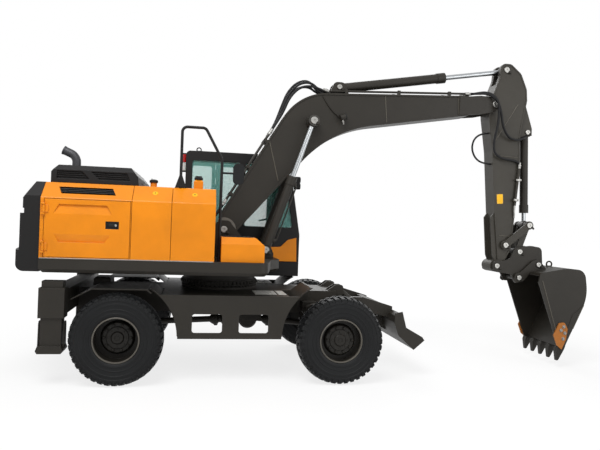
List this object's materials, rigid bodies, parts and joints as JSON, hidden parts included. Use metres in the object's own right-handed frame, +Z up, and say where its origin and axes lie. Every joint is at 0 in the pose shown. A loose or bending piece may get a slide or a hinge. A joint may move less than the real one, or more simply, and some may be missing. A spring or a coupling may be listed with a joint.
{
  "type": "wheeled excavator",
  "caption": "Wheeled excavator with a swinging upper body, cab, boom, arm and bucket, a dozer blade in front and outrigger legs behind.",
  "frame": {"origin": "on the ground, under the middle of the machine at rest", "axes": "+X to the front of the chassis, +Y to the left (cab side), +Z up"},
  "size_m": [7.6305, 2.502, 4.34],
  "materials": {
    "orange_paint": "gloss paint",
    "dark_paint": "satin paint",
    "grey_paint": "satin paint",
    "black_paint": "satin paint",
    "steel": "worn steel",
    "chrome_rod": "polished",
    "tyre_rubber": "matt",
    "glass": "clear",
    "seat_fabric": "woven",
    "dark_plastic": "matt",
    "cast": "painted casting",
    "yellow_paint": "satin paint"
  },
  "bodies": {
    "chassis": {"chassis_frame": "dark_paint", "slew_ring": "steel", "rear_axle": "cast", "front_axle": "cast", "steering_cylinder": "steel", "gearbox": "cast", "drive_shafts": "steel", "outrigger_sleeves": "dark_paint", "tow_eye": "dark_paint"},
    "steering_rod": {"steering_rod": "chrome_rod"},
    "knuckle_left": {"knuckle_left": "cast"},
    "knuckle_right": {"knuckle_right": "cast"},
    "outrigger_left": {"outrigger_leg_left": "dark_paint"},
    "outrigger_right": {"outrigger_leg_right": "dark_paint"},
    "blade": {"blade": "dark_paint"},
    "blade_barrels": {"blade_cylinder_barrels": "dark_paint"},
    "blade_rods": {"blade_cylinder_rods": "chrome_rod"},
    "upper": {"swing_frame": "dark_paint", "counterweight": "black_paint", "engine_bay": "orange_paint", "engine": "cast", "hydraulic_tank": "orange_paint", "fuel_tank": "orange_paint", "battery_box": "orange_paint", "tool_box": "orange_paint", "handrail": "black_paint", "mirror_right": "dark_plastic", "cab_frame": "black_paint", "cab_glass": "glass", "cab_side_panel": "orange_paint", "operator_seat": "seat_fabric", "cab_console": "dark_plastic"},
    "side_door_right": {"side_door_right": "orange_paint"},
    "side_door_left": {"side_door_left": "orange_paint"},
    "engine_hood": {"engine_hood": "black_paint", "exhaust": "steel"},
    "cab_door": {"cab_door": "black_paint", "cab_door_glass": "glass"},
    "boom": {"boom": "dark_paint"},
    "boom_barrels": {"boom_cylinder_barrels": "dark_paint"},
    "boom_rods": {"boom_cylinder_rods": "chrome_rod"},
    "arm_barrel": {"arm_cylinder_barrel": "dark_paint"},
    "arm_rod": {"arm_cylinder_rod": "chrome_rod"},
    "arm": {"arm": "grey_paint"},
    "bucket_barrel": {"bucket_cylinder_barrel": "dark_paint"},
    "bucket_rod": {"bucket_cylinder_rod": "chrome_rod"},
    "rocker": {"rocker_links": "grey_paint"},
    "h_link": {"h_link": "grey_paint"},
    "bucket": {"coupler": "grey_paint", "bucket": "grey_paint", "bucket_teeth": "steel", "side_cutters": "yellow_paint"},
    "wheel_rear_left": {"tyre_rear_left": "tyre_rubber", "rim_rear_left": "dark_paint"},
    "wheel_rear_right": {"tyre_rear_right": "tyre_rubber", "rim_rear_right": "dark_paint"},
    "wheel_front_left": {"tyre_front_left": "tyre_rubber", "rim_front_left": "dark_paint"},
    "wheel_front_right": {"tyre_front_right": "tyre_rubber", "rim_front_right": "dark_paint"}
  },
  "joints": [
    {"name": "wheel_rear_left_turn", "type": "hinge", "parent": "chassis", "child": "wheel_rear_left", "pos_m": [-2.56, 1.105, 0.525], "axis": [0, 1, 0], "continuous": true},
    {"name": "wheel_rear_right_turn", "type": "hinge", "parent": "chassis", "child": "wheel_rear_right", "pos_m": [-2.56, -1.105, 0.525], "axis": [0, 1, 0], "continuous": true},
    {"name": "steer_left", "type": "hinge", "parent": "chassis", "child": "knuckle_left", "pos_m": [0.04, 0.85, 0.525], "axis": [0, 0, 1], "range_deg": [-30, 30]},
    {"name": "steer_right", "type": "hinge", "parent": "chassis", "child": "knuckle_right", "pos_m": [0.04, -0.85, 0.525], "axis": [0, 0, 1], "range_deg": [-30, 30]},
    {"name": "wheel_front_left_turn", "type": "hinge", "parent": "knuckle_left", "child": "wheel_front_left", "pos_m": [0.04, 1.105, 0.525], "axis": [0, 1, 0], "continuous": true},
    {"name": "wheel_front_right_turn", "type": "hinge", "parent": "knuckle_right", "child": "wheel_front_right", "pos_m": [0.04, -1.105, 0.525], "axis": [0, 1, 0], "continuous": true},
    {"name": "steering_rod_slide", "type": "slide", "parent": "chassis", "child": "steering_rod", "axis": [0, 1, 0], "range_m": [-0.2, 0.2]},
    {"name": "outrigger_left_slide", "type": "slide", "parent": "chassis", "child": "outrigger_left", "axis": [0, 0, 1], "range_m": [-0.4, 0]},
    {"name": "outrigger_right_slide", "type": "slide", "parent": "chassis", "child": "outrigger_right", "axis": [0, 0, 1], "range_m": [-0.4, 0]},
    {"name": "blade_lift", "type": "hinge", "parent": "chassis", "child": "blade", "pos_m": [-0.23, 0, 0.8], "axis": [0, -1, 0], "range_deg": [-20, 5]},
    {"name": "blade_barrels_swing", "type": "hinge", "parent": "chassis", "child": "blade_barrels", "pos_m": [0.21, 0, 1.04], "axis": [0, -1, 0], "range_deg": [-30, 12]},
    {"name": "blade_rods_slide", "type": "slide", "parent": "blade_barrels", "child": "blade_rods", "axis": [0.7982, 0, -0.6024], "range_m": [-0.06, 0.18]},
    {"name": "swing", "type": "hinge", "parent": "chassis", "child": "upper", "pos_m": [-1.38, 0, 1.2], "axis": [0, 0, 1], "continuous": true},
    {"name": "side_door_right_hinge", "type": "hinge", "parent": "upper", "child": "side_door_right", "pos_m": [-3.3675, -1.237, 1.75], "axis": [0, 0, -1], "range_deg": [0, 100]},
    {"name": "side_door_left_hinge", "type": "hinge", "parent": "upper", "child": "side_door_left", "pos_m": [-3.3675, 1.237, 1.75], "axis": [0, 0, 1], "range_deg": [0, 100]},
    {"name": "cab_door_hinge", "type": "hinge", "parent": "upper", "child": "cab_door", "pos_m": [-1.4425, 1.237, 2], "axis": [0, 0, 1], "range_deg": [0, 95]},
    {"name": "engine_hood_hinge", "type": "hinge", "parent": "upper", "child": "engine_hood", "pos_m": [-2.388, 0, 2.3], "axis": [0, 1, 0], "range_deg": [0, 60]},
    {"name": "boom_lift", "type": "hinge", "parent": "upper", "child": "boom", "pos_m": [-1.35, 0, 1.8], "axis": [0, -1, 0], "range_deg": [-49, 40]},
    {"name": "boom_barrels_swing", "type": "hinge", "parent": "upper", "child": "boom_barrels", "pos_m": [-0.8, 0, 1.55], "axis": [0, -1, 0], "range_deg": [-55, 45]},
    {"name": "boom_rods_slide", "type": "slide", "parent": "boom_barrels", "child": "boom_rods", "axis": [0.3204, 0, 0.9473], "range_m": [-0.5, 0.42]},
    {"name": "arm_swing", "type": "hinge", "parent": "boom", "child": "arm", "pos_m": [2.46, 0, 3.731], "axis": [0, 1, 0], "range_deg": [-73, 30]},
    {"name": "arm_barrel_swing", "type": "hinge", "parent": "boom", "child": "arm_barrel", "pos_m": [0.17, 0, 3.82], "axis": [0, -1, 0], "range_deg": [-8, 8]},
    {"name": "arm_rod_slide", "type": "slide", "parent": "arm_barrel", "child": "arm_rod", "axis": [0.9852, 0, 0.1715], "range_m": [-0.6, 0.3]},
    {"name": "bucket_turn", "type": "hinge", "parent": "arm", "child": "bucket", "pos_m": [2.575, 0, 1.411], "axis": [0, -1, 0], "range_deg": [-150, 10]},
    {"name": "bucket_barrel_swing", "type": "hinge", "parent": "arm", "child": "bucket_barrel", "pos_m": [3.02, 0, 3.373], "axis": [0, -1, 0], "range_deg": [-10, 5]},
    {"name": "bucket_rod_slide", "type": "slide", "parent": "bucket_barrel", "child": "bucket_rod", "axis": [0.0337, 0, -0.9994], "range_m": [-0.1, 0.9]},
    {"name": "rocker_swing", "type": "hinge", "parent": "arm", "child": "rocker", "pos_m": [2.695, 0, 1.712], "axis": [0, -1, 0], "range_deg": [-140, 20]},
    {"name": "h_link_swing", "type": "hinge", "parent": "bucket", "child": "h_link", "pos_m": [2.925, 0, 1.622], "axis": [0, -1, 0], "range_deg": [-20, 130]}
  ],
  "couplings": [
    {"joint": "steer_right", "follows": "steer_left", "ratio": 1},
    {"joint": "steering_rod_slide", "follows": "steer_left", "m_per_rad": 0.2134},
    {"joint": "blade_barrels_swing", "follows": "blade_lift", "ratio": 1.169},
    {"joint": "blade_rods_slide", "follows": "blade_lift", "m_per_rad": -0.4612},
    {"joint": "boom_barrels_swing", "follows": "boom_lift", "ratio": 0.9934},
    {"joint": "boom_rods_slide", "follows": "boom_lift", "m_per_rad": 0.5387},
    {"joint": "arm_barrel_swing", "follows": "arm_swing", "ratio": -0.0181},
    {"joint": "arm_rod_slide", "follows": "arm_swing", "m_per_rad": 0.4199},
    {"joint": "bucket_barrel_swing", "follows": "bucket_turn", "ratio": 0.034},
    {"joint": "bucket_rod_slide", "follows": "bucket_turn", "m_per_rad": -0.3231},
    {"joint": "rocker_swing", "follows": "bucket_turn", "ratio": 0.8546},
    {"joint": "h_link_swing", "follows": "bucket_turn", "ratio": -0.7437}
  ]
}
